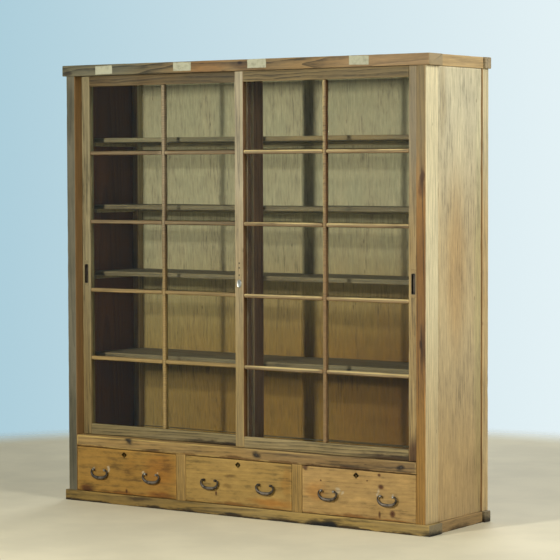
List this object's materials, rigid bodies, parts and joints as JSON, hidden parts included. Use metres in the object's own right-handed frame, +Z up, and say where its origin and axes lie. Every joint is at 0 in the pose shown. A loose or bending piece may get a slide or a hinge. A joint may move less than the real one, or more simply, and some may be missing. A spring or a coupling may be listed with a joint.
{
  "type": "display cabinet",
  "caption": "Tall timber display cabinet with two sliding barred glass doors over a row of drawers with iron bail pulls, on a plinth with matching cornice.",
  "frame": {"origin": "middle of the overall box at floor level", "axes": "+X to the right seen from the front, +Y from front to back, +Z up"},
  "size_m": [1.733, 0.4654, 1.77],
  "materials": {
    "frame_wood": "aged, worn",
    "panel_wood": "aged, pale",
    "door_wood": "aged, handled",
    "drawer_wood": "aged, honey",
    "inner_wood": "bare",
    "back_wood": "bare",
    "old_glass": "clear",
    "dark_iron": "forged, dark",
    "lock_metal": "worn"
  },
  "bodies": {
    "cabinet": {"front_post_left": "frame_wood", "front_post_right": "frame_wood", "rear_post_left": "frame_wood", "rear_post_right": "frame_wood", "side_panel_left": "panel_wood", "side_panel_right": "panel_wood", "cornice_front_rail": "frame_wood", "cornice_side_rails": "frame_wood", "cornice_rear_rail": "frame_wood", "top_boards": "back_wood", "sill_rail": "frame_wood", "drawer_dividers": "frame_wood", "plinth_front_rail": "frame_wood", "plinth_side_rails": "frame_wood", "plinth_rear_rail": "frame_wood", "cabinet_floor": "inner_wood", "drawer_runners": "inner_wood", "back_boards": "back_wood", "centre_post": "inner_wood", "shelf_1": "inner_wood", "shelf_2": "inner_wood", "shelf_3": "inner_wood", "shelf_4": "inner_wood", "shelf_cleats": "inner_wood"},
    "door_left": {"door_left_outer_stile": "door_wood", "door_left_meeting_stile": "door_wood", "door_left_top_rail": "door_wood", "door_left_bottom_rail": "door_wood", "door_left_glazing_bars": "door_wood", "door_left_glass": "old_glass", "door_left_finger_pull": "dark_iron"},
    "door_right": {"door_right_outer_stile": "door_wood", "door_right_meeting_stile": "door_wood", "door_right_top_rail": "door_wood", "door_right_bottom_rail": "door_wood", "door_right_glazing_bars": "door_wood", "door_right_glass": "old_glass", "door_right_finger_pull": "dark_iron", "door_lock": "lock_metal"},
    "drawer_left": {"drawer_left_front": "drawer_wood", "drawer_left_box": "inner_wood", "drawer_left_bottom": "inner_wood", "drawer_left_pull_posts": "dark_iron", "drawer_left_lock": "dark_iron"},
    "drawer_left_pull_left": {"drawer_left_pull_left": "dark_iron"},
    "drawer_left_pull_right": {"drawer_left_pull_right": "dark_iron"},
    "drawer_middle": {"drawer_middle_front": "drawer_wood", "drawer_middle_box": "inner_wood", "drawer_middle_bottom": "inner_wood", "drawer_middle_pull_posts": "dark_iron", "drawer_middle_lock": "dark_iron"},
    "drawer_middle_pull_left": {"drawer_middle_pull_left": "dark_iron"},
    "drawer_middle_pull_right": {"drawer_middle_pull_right": "dark_iron"},
    "drawer_right": {"drawer_right_front": "drawer_wood", "drawer_right_box": "inner_wood", "drawer_right_bottom": "inner_wood", "drawer_right_pull_posts": "dark_iron", "drawer_right_lock": "dark_iron"},
    "drawer_right_pull_left": {"drawer_right_pull_left": "dark_iron"},
    "drawer_right_pull_right": {"drawer_right_pull_right": "dark_iron"}
  },
  "joints": [
    {"name": "door_left_slide", "type": "slide", "parent": "cabinet", "child": "door_left", "axis": [1, 0, 0], "range_m": [0, 0.785]},
    {"name": "door_right_slide", "type": "slide", "parent": "cabinet", "child": "door_right", "axis": [1, 0, 0], "range_m": [-0.785, 0]},
    {"name": "drawer_left_slide", "type": "slide", "parent": "cabinet", "child": "drawer_left", "axis": [0, -1, 0], "range_m": [0, 0.3]},
    {"name": "drawer_left_pull_left_hinge", "type": "hinge", "parent": "drawer_left", "child": "drawer_left_pull_left", "pos_m": [-0.68517, -0.22775, 0.135], "axis": [-1, 0, 0], "range_deg": [0, 95]},
    {"name": "drawer_left_pull_right_hinge", "type": "hinge", "parent": "drawer_left", "child": "drawer_left_pull_right", "pos_m": [-0.42117, -0.22775, 0.135], "axis": [-1, 0, 0], "range_deg": [0, 95]},
    {"name": "drawer_middle_slide", "type": "slide", "parent": "cabinet", "child": "drawer_middle", "axis": [0, -1, 0], "range_m": [0, 0.3]},
    {"name": "drawer_middle_pull_left_hinge", "type": "hinge", "parent": "drawer_middle", "child": "drawer_middle_pull_left", "pos_m": [-0.132, -0.22775, 0.135], "axis": [-1, 0, 0], "range_deg": [0, 95]},
    {"name": "drawer_middle_pull_right_hinge", "type": "hinge", "parent": "drawer_middle", "child": "drawer_middle_pull_right", "pos_m": [0.132, -0.22775, 0.135], "axis": [-1, 0, 0], "range_deg": [0, 95]},
    {"name": "drawer_right_slide", "type": "slide", "parent": "cabinet", "child": "drawer_right", "axis": [0, -1, 0], "range_m": [0, 0.3]},
    {"name": "drawer_right_pull_left_hinge", "type": "hinge", "parent": "drawer_right", "child": "drawer_right_pull_left", "pos_m": [0.42117, -0.22775, 0.135], "axis": [-1, 0, 0], "range_deg": [0, 95]},
    {"name": "drawer_right_pull_right_hinge", "type": "hinge", "parent": "drawer_right", "child": "drawer_right_pull_right", "pos_m": [0.68517, -0.22775, 0.135], "axis": [-1, 0, 0], "range_deg": [0, 95]}
  ]
}
